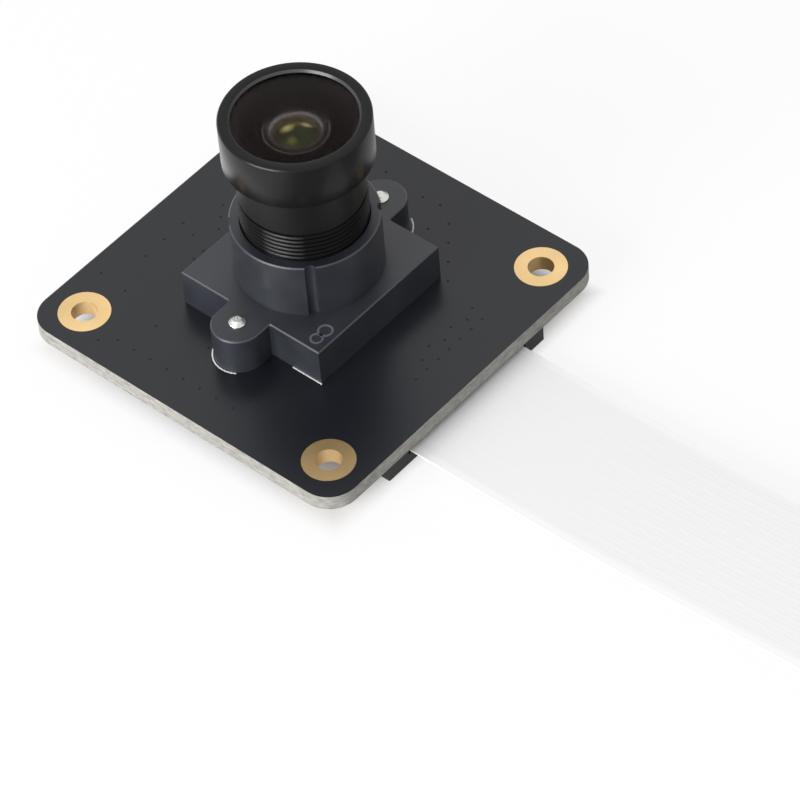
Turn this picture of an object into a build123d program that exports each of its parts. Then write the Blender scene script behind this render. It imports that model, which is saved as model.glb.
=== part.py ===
from build123d import *
import math
import os

# A small camera module: a square circuit board with a screw-in lens on one side
# and, on the other side, the socket of the flat ribbon cable that leaves its edge.
#
# Millimetres. The origin is the centre of the four mounting holes, on the board's
# underside. +Z goes out through the lens, +X to the edge where the cable leaves.

# Circuit board and its four plated mounting holes
board_side = 38.0
board_corner_r = 3.0
board_thickness = 1.6
hole_spacing = 30.0
hole_bore_d = 2.5
hole_pad_d = 5.0
plating_wall = 0.1
pad_thickness = 0.06
pad_proud = 0.02

# Lens holder: a square foot with two screw lugs, and a round threaded tube
foot_side = 16.8
foot_height = 4.0
foot_wall = 1.2
foot_roof = 1.3
foot_cavity_corner_r = 1.0
holder_edge_break = 0.12
tube_d = 14.0
tube_top = 10.0
groove_r = 0.55
groove_depth = 0.4
lug_spacing = 20.0
lug_r = 2.5
lug_root_fillet = 0.15

# Self-tapping screws that hold the lens holder from behind
screw_d = 1.6
screw_board_clearance = 0.1
screw_pilot_clearance = 0.02
screw_head_d = 3.0
screw_head_height = 1.1
screw_head_dome = 0.25
screw_tip_proud = 0.45
screw_tip_taper = 0.35
screw_cross_length = 1.8
screw_cross_width = 0.45
screw_cross_depth = 0.6

# Lens barrel, with heights measured up from the top of the board
thread_d = 12.0
thread_clearance = 0.05
lens_rear = 5.0
thread_top = 13.4
neck_d = 11.8
head_bottom = 17.5
head_d = 14.0
lens_front = 22.4
thread_chamfer = 0.3
head_chamfer = 0.3
rim_chamfer = 0.15
rim_bevel_width = 0.22
rim_bevel_depth = 0.25

# Glass and its seats
seat_clearance = 0.02
cement_gap = 0.02
front_glass_r = 5.9
front_glass_edge = 1.75
front_glass_sag = 0.35
front_lip_width = 0.12
front_lip_thickness = 0.35
front_bowl_r = 3.07
front_bowl_sag = 1.3
seal_ring_r = 0.3
seal_groove_width = 0.82
nose_height = 0.2
nose_outer_r = 2.9
nose_chamfer = 0.15
nose_rim_r = 2.2
nose_throat_r = 1.9
nose_cone_depth = 0.35
throat_depth = 0.7
relief_r = 2.45
shoulder_depth = 1.3
rear_glass_r = 3.6
second_edge = 1.2
second_front_r = 2.4
second_front_sag = 1.15
second_back_r = 2.2
second_back_sag = 0.15
front_spacer_length = 1.0
front_spacer_bore_r = 2.6
third_edge = 1.5
third_dome_r = 2.5
third_front_sag = 0.5
third_back_sag = 0.4
stop_length = 0.7
stop_leaf = 0.2
stop_hole_r = 1.0
stop_wall = 0.9
doublet_front_edge = 2.0
doublet_dish_r = 2.6
doublet_dish_sag = 0.2
doublet_joint_r = 3.0
doublet_joint_sag = 0.6
doublet_rear_edge = 1.6
doublet_back_r = 2.6
doublet_back_sag = 0.5
rear_spacer_length = 1.2
rear_spacer_bore_r = 2.8
rear_edge = 1.6
rear_front_r = 2.6
rear_front_sag = 0.4
rear_back_r = 2.4
rear_back_sag = 0.3
retainer_length = 0.9
retainer_bore_r = 2.5
spanner_slot_width = 0.6
spanner_slot_depth = 0.4
filter_side = 8.0
filter_thickness = 0.3

# Image sensor package, soldered to the middle of the board
sensor_length = 10.5
sensor_width = 9.0
sensor_height = 0.8
sensor_wall = 1.0
sensor_well_depth = 0.55
die_length = 7.0
die_width = 5.2
die_thickness = 0.25
window_inset = 0.5
window_thickness = 0.4

# Flat cable
wire_count = 15
wire_pitch = 1.0
cable_width = 16.0
cable_thickness = 0.2
stiffener_thickness = 0.1
near_stiffener_length = 3.2
far_stiffener_length = 8.0
contact_strip_width = 0.7
contact_strip_length = 4.0
near_strip_length = 3.0
contact_strip_thickness = 0.03

# The cable's route, as distance out from the socket's mouth and height over the board's
# underside. It starts inside the socket, leaves it level, rises a little by its own
# spring, and comes down again.
cable_route = [
    (-4.4, -1.0),
    (10.5, -1.0),
    (23.5, -0.75),
    (36.5, 0.35),
    (50.5, 1.35),
    (65.5, 1.0),
    (81.5, -0.5),
    (99.5, -1.95),
    (119.5, -2.45),
    (145.4, -2.45),
]
run_share = 0.45

# Cable socket on the underside: a housing, and a latch that slides out of it
socket_length = 22.0
socket_height = 2.6
socket_inset = 0.5
housing_depth = 4.2
housing_back_chamfer = 0.3
latch_bar_depth = 1.15
latch_gap = 0.05
latch_travel = 1.2
latch_floor_gap = 0.05
latch_board_gap = 0.1
latch_edge_break = 0.1
mouth_side_clearance = 0.3
mouth_height = 0.6
slot_side_clearance = 0.15
slot_back_wall = 0.8
slot_above_cable = 0.15
tongue_thickness = 0.5
tongue_clearance = 0.05
tongue_side_inset = 0.1
tongue_end_clearance = 0.2
arm_offset = 9.25
arm_width = 0.7
arm_height = 0.85
arm_length = 2.7
arm_clearance = 0.1
terminal_width = 0.35
terminal_groove_clearance = 0.08
terminal_thickness = 0.15
terminal_tail = 0.9
terminal_bend_inset = 0.45
terminal_beam_length = 3.3
terminal_tip_gap = 0.05
tab_length = 2.0
tab_width = 0.9
tab_thickness = 0.15
tab_leg = 1.4
tab_from_back = 0.5

# Parts on the underside
oscillator_place = (-7.5, 6.5)
oscillator_size = (3.2, 2.5)
oscillator_base_height = 0.4
oscillator_lid_height = 0.45
oscillator_lid_inset = 0.2
memory_place = (-8.0, -4.5)
memory_size = (3.9, 4.9)
memory_height = 1.35
memory_standoff = 0.1
memory_lead_pitch = 1.27
memory_lead_rows = 4
memory_lead_width = 0.4
memory_lead_reach = 1.05
regulator_rows = (6.0, 0.0, -6.0)
regulator_to_socket = 6.1
regulator_size = (1.6, 2.9)
regulator_height = 1.05
regulator_standoff = 0.08
regulator_lead_pitch = 0.95
regulator_lead_width = 0.38
regulator_lead_reach = 0.6
lead_thickness = 0.15
lead_knee_share = 0.35
capacitor_size = (1.6, 0.8, 0.8)
supply_capacitor_rows = (7.0, 5.0, 1.0, -1.0, -5.0, -7.0)
supply_capacitor_to_socket = 3.1
output_capacitor_rows = (6.5, -6.5)
output_capacitor_to_socket = 10.1
sensor_capacitor_places = [(-3.0, 4.5), (-3.0, 2.5), (-3.0, -2.5), (-3.0, -4.5)]
resistor_size = (1.0, 0.5, 0.35)
resistor_places = [
    (2.0, 3.5), (2.0, 2.3), (2.0, -2.3), (2.0, -3.5), (-12.0, 4.0), (-12.0, 2.8),
    (-12.0, 1.6), (-8.0, 1.2), (-8.0, 0.0),
]
terminal_share = 0.2

# Heights and radii that follow from the sizes above
board_top = board_thickness
foot_top = board_top + foot_height
tube_rim = board_top + tube_top
holder_bore_r = thread_d / 2 + thread_clearance
lens_rear_z = board_top + lens_rear
thread_top_z = board_top + thread_top
head_bottom_z = board_top + head_bottom
lens_front_z = board_top + lens_front
front_glass_top = lens_front_z - front_lip_thickness
front_glass_bottom = front_glass_top - front_glass_edge
shoulder_z = front_glass_bottom - shoulder_depth
second_bottom = shoulder_z - second_edge
third_top = second_bottom - front_spacer_length
third_bottom = third_top - third_edge
stop_bottom = third_bottom - stop_length
doublet_joint_z = stop_bottom - doublet_front_edge
doublet_bottom = doublet_joint_z - doublet_rear_edge
rear_top = doublet_bottom - rear_spacer_length
rear_bottom = rear_top - rear_edge
retainer_bottom = rear_bottom - retainer_length
socket_front_x = board_side / 2 - socket_inset
latch_back_x = socket_front_x - latch_bar_depth
housing_front_x = latch_back_x - latch_gap
housing_back_x = housing_front_x - housing_depth
cable_points = [(socket_front_x + out, height) for out, height in cable_route]
cable_start_x, cable_z = cable_points[0]
cable_top = cable_z + cable_thickness / 2
cable_bottom = cable_z - cable_thickness / 2
tongue_top = cable_bottom - stiffener_thickness - tongue_clearance
slot_top = cable_top + slot_above_cable
slot_floor = tongue_top - tongue_thickness - tongue_clearance
wire_rows = [(i - (wire_count - 1) / 2) * wire_pitch for i in range(wire_count)]
regulator_places = [(housing_back_x - regulator_to_socket, y) for y in regulator_rows]
supply_capacitor_x = housing_back_x - supply_capacitor_to_socket
output_capacitor_x = housing_back_x - output_capacitor_to_socket
capacitor_places = [
    *((supply_capacitor_x, y) for y in supply_capacitor_rows),
    *((output_capacitor_x, y) for y in output_capacitor_rows),
    *sensor_capacitor_places,
]


def block(x0, x1, y0, y1, z0, z1):
    """A box between two corners."""
    return Pos((x0 + x1) / 2, (y0 + y1) / 2, (z0 + z1) / 2) * Box(x1 - x0, y1 - y0, z1 - z0)


def turned(*points):
    """A solid of revolution about Z from a closed outline of (radius, height)."""
    return revolve(Plane.XZ * make_face(Polyline(*points, close=True)), Axis.Z)


def ring(r_in, r_out, z0, z1):
    return turned((r_in, z0), (r_out, z0), (r_out, z1), (r_in, z1))


def rod(r, z0, z1, x=0.0, y=0.0):
    return Pos(x, y, z0) * Cylinder(r, z1 - z0, align=(Align.CENTER, Align.CENTER, Align.MIN))


def dome_height(r, dome_r, sag):
    """Height over its rim of a spherical cap, at radius r."""
    ball_r = (dome_r**2 + sag**2) / (2 * abs(sag))
    drop = ball_r - math.sqrt(ball_r**2 - r**2)
    return math.copysign(abs(sag) - drop, sag)


def glass(edge_r, z0, z1, front, back):
    """A lens element. Each face is (radius, sag) and a positive sag bulges outwards."""
    front_r, front_sag = front
    back_r, back_sag = back
    axis_top = (0, z1 + front_sag)
    axis_bottom = (0, z0 - back_sag)
    outline = (
        ThreePointArc(
            axis_bottom,
            (back_r / 2, z0 - dome_height(back_r / 2, back_r, back_sag)),
            (back_r, z0),
        )
        + Polyline((back_r, z0), (edge_r, z0), (edge_r, z1), (front_r, z1))
        + ThreePointArc(
            (front_r, z1),
            (front_r / 2, z1 + dome_height(front_r / 2, front_r, front_sag)),
            axis_top,
        )
        + Line(axis_top, axis_bottom)
    )
    return revolve(Plane.XZ * make_face(outline), Axis.Z)


def mounting_holes():
    half = hole_spacing / 2
    return [(x, y) for x in (-half, half) for y in (-half, half)]


def lug_centres():
    return [(0.0, -lug_spacing / 2), (0.0, lug_spacing / 2)]


def circuit_board():
    board = extrude(RectangleRounded(board_side, board_side, board_corner_r), board_thickness)
    drilled_r = hole_bore_d / 2 + plating_wall
    recess = pad_thickness - pad_proud
    for x, y in mounting_holes():
        board -= rod(drilled_r, 0, board_thickness, x, y)
        board -= rod(hole_pad_d / 2, 0, recess, x, y)
        board -= rod(hole_pad_d / 2, board_thickness - recess, board_thickness, x, y)
    for x, y in lug_centres():
        board -= rod(screw_d / 2 + screw_board_clearance, 0, board_thickness, x, y)
    return board


def hole_plating():
    """Each mounting hole is lined with plated copper that spreads into a pad on both faces."""
    bore_r = hole_bore_d / 2
    wall_r = bore_r + plating_wall
    pad_r = hole_pad_d / 2
    low = -pad_proud
    high = board_thickness + pad_proud
    eyelet = turned(
        (bore_r, low),
        (pad_r, low),
        (pad_r, low + pad_thickness),
        (wall_r, low + pad_thickness),
        (wall_r, high - pad_thickness),
        (pad_r, high - pad_thickness),
        (pad_r, high),
        (bore_r, high),
    )
    return [Pos(x, y, 0) * eyelet for x, y in mounting_holes()]


def is_lug_root(corner):
    beside_lug = abs(corner.X) < lug_r + lug_root_fillet
    return beside_lug and abs(corner.Y) < foot_side / 2 + lug_root_fillet


def holder_outline():
    """The foot seen from above: a square with a straight-sided, round-ended lug on two sides."""
    outline = Rectangle(foot_side, foot_side)
    outline += SlotCenterToCenter(lug_spacing, 2 * lug_r, rotation=90)
    return fillet(outline.vertices().filter_by(is_lug_root), lug_root_fillet)


def lens_holder():
    foot = Pos(0, 0, board_top) * extrude(holder_outline(), foot_height)
    foot = chamfer(foot.faces().sort_by(Axis.Z)[-1].edges(), holder_edge_break)
    tube = rod(tube_d / 2, foot_top - holder_edge_break, tube_rim)
    holder = foot + tube
    rim = holder.faces().sort_by(Axis.Z)[-1].edges()
    holder = chamfer(rim, holder_edge_break)
    groove_centre = tube_d / 2 - groove_depth + groove_r
    for quarter in range(4):
        groove = rod(groove_r, foot_top, tube_rim, groove_centre)
        holder -= Rot(0, 0, 45 + 90 * quarter) * groove
    holder -= rod(holder_bore_r, board_top, tube_rim)
    cavity_side = foot_side - 2 * foot_wall
    cavity = RectangleRounded(cavity_side, cavity_side, foot_cavity_corner_r)
    holder -= Pos(0, 0, board_top) * extrude(cavity, foot_height - foot_roof)
    for x, y in lug_centres():
        holder -= rod(screw_d / 2 + screw_pilot_clearance, board_top, foot_top, x, y)
    return holder


def holder_screws():
    """Pan-head self-tapping screws. Their points come out through the tops of the lugs."""
    shank_r = screw_d / 2
    head_r = screw_head_d / 2
    tip_z = foot_top + screw_tip_proud
    screw = turned(
        (0, -screw_head_height),
        (head_r - screw_head_dome, -screw_head_height),
        (head_r, -screw_head_height + screw_head_dome),
        (head_r, 0),
        (shank_r, 0),
        (shank_r, tip_z - screw_tip_taper),
        (shank_r / 2, tip_z),
        (0, tip_z),
    )
    half_length = screw_cross_length / 2
    half_width = screw_cross_width / 2
    bottom = -screw_head_height
    slot = block(-half_length, half_length, -half_width, half_width, bottom, bottom + screw_cross_depth)
    screw -= slot + Rot(0, 0, 90) * slot
    return [Pos(x, y, 0) * screw for x, y in lug_centres()]


def lens_barrel():
    """One turned piece: threaded tail, plain neck, wide head, and a flange between two bores."""
    thread_r = thread_d / 2
    neck_r = neck_d / 2
    head_r = head_d / 2
    lip_r = front_glass_r - front_lip_width
    pocket_r = front_glass_r + seat_clearance
    groove_inner_r = pocket_r - seal_groove_width
    groove_floor = front_glass_bottom - 2 * seal_ring_r
    nose_top = front_glass_bottom + nose_height
    cone_bottom = nose_top - nose_cone_depth
    throat_bottom = front_glass_bottom - throat_depth
    rear_bore_r = rear_glass_r + seat_clearance
    return turned(
        (rear_bore_r, lens_rear_z),
        (thread_r - thread_chamfer, lens_rear_z),
        (thread_r, lens_rear_z + thread_chamfer),
        (thread_r, thread_top_z),
        (neck_r, thread_top_z),
        (neck_r, head_bottom_z),
        (head_r - head_chamfer, head_bottom_z),
        (head_r, head_bottom_z + head_chamfer),
        (head_r, lens_front_z - rim_chamfer),
        (head_r - rim_chamfer, lens_front_z),
        (lip_r + rim_bevel_width, lens_front_z),
        (lip_r, lens_front_z - rim_bevel_depth),
        (lip_r, front_glass_top),
        (pocket_r, front_glass_top),
        (pocket_r, groove_floor),
        (groove_inner_r, groove_floor),
        (groove_inner_r, front_glass_bottom),
        (nose_outer_r, front_glass_bottom),
        (nose_outer_r - nose_chamfer, nose_top),
        (nose_rim_r, nose_top),
        (nose_throat_r, cone_bottom),
        (nose_throat_r, throat_bottom),
        (relief_r, throat_bottom),
        (relief_r, shoulder_z),
        (rear_bore_r, shoulder_z),
    )


def front_element():
    """The wide front glass: a gentle dome in front and a deep bowl behind."""
    dome_r = front_glass_r - front_lip_width - seat_clearance
    front = (dome_r, front_glass_sag)
    back = (front_bowl_r, -front_bowl_sag)
    return glass(front_glass_r, front_glass_bottom, front_glass_top, front, back)


def front_seal():
    """A rubber ring in a groove behind the rim of the front glass."""
    centre_r = front_glass_r + seat_clearance - seal_groove_width / 2
    section = Plane.XZ * Pos(centre_r, front_glass_bottom - seal_ring_r) * Circle(seal_ring_r)
    return revolve(section, Axis.Z)


def second_element():
    front = (second_front_r, second_front_sag)
    back = (second_back_r, second_back_sag)
    return glass(rear_glass_r, second_bottom, shoulder_z, front, back)


def third_element():
    front = (third_dome_r, third_front_sag)
    back = (third_dome_r, third_back_sag)
    return glass(rear_glass_r, third_bottom, third_top, front, back)


def aperture_stop():
    """A short cup whose thin floor carries the lens's fixed aperture."""
    leaf_top = stop_bottom + stop_leaf
    inner_r = rear_glass_r - stop_wall
    return turned(
        (stop_hole_r, stop_bottom),
        (rear_glass_r, stop_bottom),
        (rear_glass_r, third_bottom),
        (inner_r, third_bottom),
        (inner_r, leaf_top),
        (stop_hole_r, leaf_top),
    )


def doublet_front():
    front = (doublet_dish_r, -doublet_dish_sag)
    back = (doublet_joint_r, doublet_joint_sag)
    return glass(rear_glass_r, doublet_joint_z, stop_bottom, front, back)


def doublet_rear():
    front = (doublet_joint_r, -doublet_joint_sag)
    back = (doublet_back_r, doublet_back_sag)
    return glass(rear_glass_r, doublet_bottom, doublet_joint_z - cement_gap, front, back)


def rear_element():
    front = (rear_front_r, rear_front_sag)
    back = (rear_back_r, -rear_back_sag)
    return glass(rear_glass_r, rear_bottom, rear_top, front, back)


def rear_retainer():
    """A threaded ring that closes the glass stack, with two slots for a spanner."""
    retainer = ring(retainer_bore_r, rear_glass_r, retainer_bottom, rear_bottom)
    half = spanner_slot_width / 2
    slot_top = retainer_bottom + spanner_slot_depth
    return retainer - block(-rear_glass_r, rear_glass_r, -half, half, retainer_bottom, slot_top)


def infrared_filter():
    half = filter_side / 2
    return block(-half, half, -half, half, lens_rear_z - filter_thickness, lens_rear_z)


def sensor_carrier():
    """The sensor's ceramic package, with a well for the silicon."""
    half_x = sensor_length / 2
    half_y = sensor_width / 2
    top = board_top + sensor_height
    carrier = block(-half_x, half_x, -half_y, half_y, board_top, top)
    well_x = half_x - sensor_wall
    well_y = half_y - sensor_wall
    return carrier - block(-well_x, well_x, -well_y, well_y, top - sensor_well_depth, top)


def sensor_die():
    floor = board_top + sensor_height - sensor_well_depth
    half_x = die_length / 2
    half_y = die_width / 2
    return block(-half_x, half_x, -half_y, half_y, floor, floor + die_thickness)


def sensor_window():
    half_x = sensor_length / 2 - window_inset
    half_y = sensor_width / 2 - window_inset
    base = board_top + sensor_height
    return block(-half_x, half_x, -half_y, half_y, base, base + window_thickness)


def connector_housing():
    """Black moulded body, open in front, with a groove for each terminal on the board side."""
    half = socket_length / 2
    housing = block(housing_back_x, housing_front_x, -half, half, -socket_height, 0)
    slot_half = cable_width / 2 + slot_side_clearance
    slot_back = housing_back_x + slot_back_wall
    housing -= block(slot_back, housing_front_x, -slot_half, slot_half, slot_floor, slot_top)
    groove_half = terminal_width / 2 + terminal_groove_clearance
    groove_end = housing_back_x + terminal_beam_length + terminal_groove_clearance
    for y in wire_rows:
        housing -= block(housing_back_x, groove_end, y - groove_half, y + groove_half, slot_top, 0)
    pocket_back = latch_back_x - arm_length - arm_clearance
    pocket_half = arm_width / 2 + arm_clearance
    pocket_low = tongue_top - arm_clearance
    pocket_high = tongue_top + arm_height + arm_clearance
    for side in (-1, 1):
        y = side * arm_offset
        pocket = block(
            pocket_back, housing_front_x, y - pocket_half, y + pocket_half, pocket_low, pocket_high
        )
        housing -= pocket
    back_edges = housing.edges().filter_by(Axis.Y).group_by(Axis.Z)[0].sort_by(Axis.X)[0]
    return chamfer(back_edges, housing_back_chamfer)


def connector_slider():
    """The latch: a bar with the cable's mouth, a tongue under the cable and two guide arms."""
    half = socket_length / 2
    low = -socket_height + latch_floor_gap
    high = -latch_board_gap
    bar = block(latch_back_x, socket_front_x, -half, half, low, high)
    bar = chamfer(bar.faces().sort_by(Axis.X)[-1].edges(), latch_edge_break)
    mouth_half = cable_width / 2 + mouth_side_clearance
    mouth_low = cable_z - mouth_height / 2
    mouth_high = cable_z + mouth_height / 2
    bar -= block(latch_back_x, socket_front_x, -mouth_half, mouth_half, mouth_low, mouth_high)
    tongue_half = cable_width / 2 - tongue_side_inset
    tongue_back = housing_back_x + slot_back_wall + tongue_end_clearance
    tongue_low = tongue_top - tongue_thickness
    slider = bar + block(tongue_back, latch_back_x, -tongue_half, tongue_half, tongue_low, tongue_top)
    for side in (-1, 1):
        y = side * arm_offset
        arm_low = y - arm_width / 2
        arm_high = y + arm_width / 2
        slider += block(
            latch_back_x - arm_length, latch_back_x, arm_low, arm_high, tongue_top, tongue_top + arm_height
        )
    return slider


def connector_contacts():
    """Bent strips: a solder tail on the board, then a beam that leans on the cable."""
    tail_x = housing_back_x - terminal_tail
    bend_x = housing_back_x + terminal_bend_inset
    tip_x = housing_back_x + terminal_beam_length
    tip_z = cable_top + terminal_tip_gap
    profile = Polyline(
        (tail_x, 0),
        (bend_x, 0),
        (tip_x, tip_z + terminal_thickness),
        (tip_x, tip_z),
        (bend_x, -terminal_thickness),
        (tail_x, -terminal_thickness),
        close=True,
    )
    strip = extrude(Plane.XZ * make_face(profile), terminal_width / 2, both=True)
    return [Pos(0, y, 0) * strip for y in wire_rows]


def connector_tabs():
    """Metal hold-downs at the ends of the socket, soldered to the board."""
    x0 = housing_back_x + tab_from_back
    x1 = x0 + tab_length
    end = socket_length / 2
    foot = block(x0, x1, end, end + tab_width, -tab_thickness, 0)
    leg = block(x0, x1, end, end + tab_thickness, -tab_leg, -tab_thickness)
    tab = foot + leg
    return [tab, mirror(tab, Plane.XZ)]


def bend_radii(points):
    """As wide an arc at each corner of the route as its two runs allow."""
    radii = []
    for before, corner, after in zip(points, points[1:], points[2:]):
        first = Vector(*corner) - Vector(*before)
        second = Vector(*after) - Vector(*corner)
        half_turn = math.radians(first.get_angle(second)) / 2
        radii.append(run_share * min(first.length, second.length) / math.tan(half_turn))
    return radii


def ribbon_cable():
    points = [(x, 0.0, z) for x, z in cable_points]
    radii = bend_radii(points)
    path = FilletPolyline(*points, radius=radii)
    start = Plane(origin=path @ 0, x_dir=(0, 1, 0), z_dir=path % 0)
    cable = sweep(start * Rectangle(cable_width, cable_thickness), path=path)
    print("cable bend radii", [round(r) for r in radii])
    print("cable length", round(path.length, 2))
    print("cable volume over section times length",
          round(cable.volume / (cable_width * cable_thickness * path.length), 5))
    return cable


def stiffener(x0, x1, top):
    half = cable_width / 2
    return block(x0, x1, -half, half, top - stiffener_thickness, top)


def contact_strips(x0, x1, base):
    half = contact_strip_width / 2
    return [block(x0, x1, y - half, y + half, base, base + contact_strip_thickness) for y in wire_rows]


def near_stiffener():
    return stiffener(cable_start_x, cable_start_x + near_stiffener_length, cable_bottom)


def near_contacts():
    return contact_strips(cable_start_x, cable_start_x + near_strip_length, cable_top)


def far_stiffener():
    """The backing of the loose end lies on top, so that its contacts face down as at the socket."""
    end_x, end_z = cable_points[-1]
    top = end_z + cable_thickness / 2 + stiffener_thickness
    return stiffener(end_x - far_stiffener_length, end_x, top)


def far_contacts():
    end_x, end_z = cable_points[-1]
    base = end_z - cable_thickness / 2 - contact_strip_thickness
    return contact_strips(end_x - contact_strip_length, end_x, base)


def oscillator_base():
    x, y = oscillator_place
    length, width = oscillator_size
    half_x = length / 2
    half_y = width / 2
    return block(x - half_x, x + half_x, y - half_y, y + half_y, -oscillator_base_height, 0)


def oscillator_lid():
    x, y = oscillator_place
    length, width = oscillator_size
    half_x = length / 2 - oscillator_lid_inset
    half_y = width / 2 - oscillator_lid_inset
    top = -oscillator_base_height
    lid = block(x - half_x, x + half_x, y - half_y, y + half_y, top - oscillator_lid_height, top)
    return fillet(lid.edges().filter_by(Axis.Z), oscillator_lid_inset)


def chip_package(place, size, standoff, height):
    x, y = place
    half_x = size[0] / 2
    half_y = size[1] / 2
    return block(x - half_x, x + half_x, y - half_y, y + half_y, -standoff - height, -standoff)


def gull_lead(side, reach, height, width):
    """A bent lead from a package's side down to the board, starting at the origin's plane."""
    knee = reach * lead_knee_share
    outline = Polyline(
        (0, -height / 2),
        (knee, -height / 2),
        (knee, -lead_thickness),
        (knee, 0),
        (reach, 0),
        (reach, -lead_thickness),
        (knee + lead_thickness, -lead_thickness),
        (knee + lead_thickness, -height / 2 - lead_thickness),
        (0, -height / 2 - lead_thickness),
        close=True,
    )
    lead = extrude(Plane.XZ * make_face(outline), width / 2, both=True)
    return lead if side > 0 else mirror(lead, Plane.YZ)


def memory_chip():
    return chip_package(memory_place, memory_size, memory_standoff, memory_height)


def memory_leads():
    x, y = memory_place
    rows = [(i - (memory_lead_rows - 1) / 2) * memory_lead_pitch for i in range(memory_lead_rows)]
    leads = []
    for side in (-1, 1):
        lead = gull_lead(side, memory_lead_reach, memory_height, memory_lead_width)
        leads += [Pos(x + side * memory_size[0] / 2, y + row, 0) * lead for row in rows]
    return leads


def regulators():
    return [
        chip_package(place, regulator_size, regulator_standoff, regulator_height)
        for place in regulator_places
    ]


def regulator_leads():
    """Three leads on one side and two on the other."""
    leads = []
    for x, y in regulator_places:
        for side, rows in ((-1, (-1, 0, 1)), (1, (-1, 1))):
            lead = gull_lead(side, regulator_lead_reach, regulator_height, regulator_lead_width)
            edge = x + side * regulator_size[0] / 2
            leads += [Pos(edge, y + row * regulator_lead_pitch, 0) * lead for row in rows]
    return leads


def chip_parts(places, size):
    """The bodies and the tinned end caps of small two-ended parts that lie along X."""
    length, width, height = size
    cap = terminal_share * length
    half = length / 2
    bodies = []
    caps = []
    for x, y in places:
        low = y - width / 2
        high = y + width / 2
        bodies.append(block(x - half + cap, x + half - cap, low, high, -height, 0))
        caps.append(block(x - half, x - half + cap, low, high, -height, 0))
        caps.append(block(x + half - cap, x + half, low, high, -height, 0))
    return bodies, caps


capacitor_bodies, capacitor_caps = chip_parts(capacitor_places, capacitor_size)
resistor_bodies, resistor_caps = chip_parts(resistor_places, resistor_size)

nodes = {
    "circuit_board": circuit_board(),
    "hole_plating": hole_plating(),
    "lens_holder": lens_holder(),
    "holder_screws": holder_screws(),
    "lens_barrel": lens_barrel(),
    "front_element": front_element(),
    "front_seal": front_seal(),
    "second_element": second_element(),
    "front_spacer": ring(front_spacer_bore_r, rear_glass_r, third_top, second_bottom),
    "third_element": third_element(),
    "aperture_stop": aperture_stop(),
    "doublet_front": doublet_front(),
    "doublet_rear": doublet_rear(),
    "rear_spacer": ring(rear_spacer_bore_r, rear_glass_r, rear_top, doublet_bottom),
    "rear_element": rear_element(),
    "rear_retainer": rear_retainer(),
    "infrared_filter": infrared_filter(),
    "sensor_carrier": sensor_carrier(),
    "sensor_die": sensor_die(),
    "sensor_window": sensor_window(),
    "connector_housing": connector_housing(),
    "connector_slider": connector_slider(),
    "connector_contacts": connector_contacts(),
    "connector_tabs": connector_tabs(),
    "ribbon_cable": ribbon_cable(),
    "near_stiffener": near_stiffener(),
    "near_contacts": near_contacts(),
    "far_stiffener": far_stiffener(),
    "far_contacts": far_contacts(),
    "oscillator_base": oscillator_base(),
    "oscillator_lid": oscillator_lid(),
    "memory_chip": memory_chip(),
    "memory_leads": memory_leads(),
    "regulators": regulators(),
    "regulator_leads": regulator_leads(),
    "capacitors": capacitor_bodies,
    "resistors": resistor_bodies,
    "chip_terminals": capacitor_caps + resistor_caps,
}

os.makedirs("parts", exist_ok=True)
for name, shape in nodes.items():
    solids = shape if isinstance(shape, list) else [shape]
    piece = Compound(children=[s for item in solids for s in item.solids()])
    export_step(piece, f"parts/{name}.step")
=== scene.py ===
# %% [markdown]
# # A small camera module
#
# The object is a square black circuit board with a wide-angle lens on top and a flat white
# ribbon cable that leaves a socket under its edge. The pieces that have to fit each other come
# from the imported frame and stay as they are. This script gives them their finishes, and adds
# what a construction model leaves out: the turns of the lens's thread, the relief of the
# cable's conductors, the print and the plated dots of the board, and a digit on the holder.

# %% Load the frame
import math

import bmesh
import bpy
from mathutils import Matrix, Vector


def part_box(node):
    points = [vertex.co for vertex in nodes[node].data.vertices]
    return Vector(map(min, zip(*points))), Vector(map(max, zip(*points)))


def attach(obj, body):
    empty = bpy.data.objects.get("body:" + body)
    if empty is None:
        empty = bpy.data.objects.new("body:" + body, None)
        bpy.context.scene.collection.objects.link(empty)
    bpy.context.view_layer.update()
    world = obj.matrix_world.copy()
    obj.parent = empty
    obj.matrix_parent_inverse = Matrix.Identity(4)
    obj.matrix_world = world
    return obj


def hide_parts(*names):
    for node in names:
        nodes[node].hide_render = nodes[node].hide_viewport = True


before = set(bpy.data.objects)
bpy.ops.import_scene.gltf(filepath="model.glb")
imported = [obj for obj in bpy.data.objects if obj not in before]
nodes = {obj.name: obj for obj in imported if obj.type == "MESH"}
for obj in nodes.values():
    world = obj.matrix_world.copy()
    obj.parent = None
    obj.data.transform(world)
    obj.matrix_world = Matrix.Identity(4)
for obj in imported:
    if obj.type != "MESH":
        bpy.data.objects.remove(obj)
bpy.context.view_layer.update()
MM = 0.001
print("pieces in the frame:", len(nodes))

# %% [markdown]
# ## The camera
#
# A long lens far away keeps the lines of a small product nearly parallel. The camera's place
# was worked out from the board's corners and holes in the photograph, and it is written here
# as a photographer would say it: the point it looks at, how far away it is, its two angles,
# and the small tilt of the picture. The alternative is a matrix of nine numbers, which nobody
# can read or adjust.

# %% Camera
PHOTO_SIZE = 800
FOCAL_PX = 4556.7
AIM = Vector((10.74, -0.82, -5.74)) * MM
DISTANCE = 421.46 * MM
AZIMUTH = math.radians(44.13)
ELEVATION = math.radians(47.70)
ROLL = math.radians(5.0)


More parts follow.
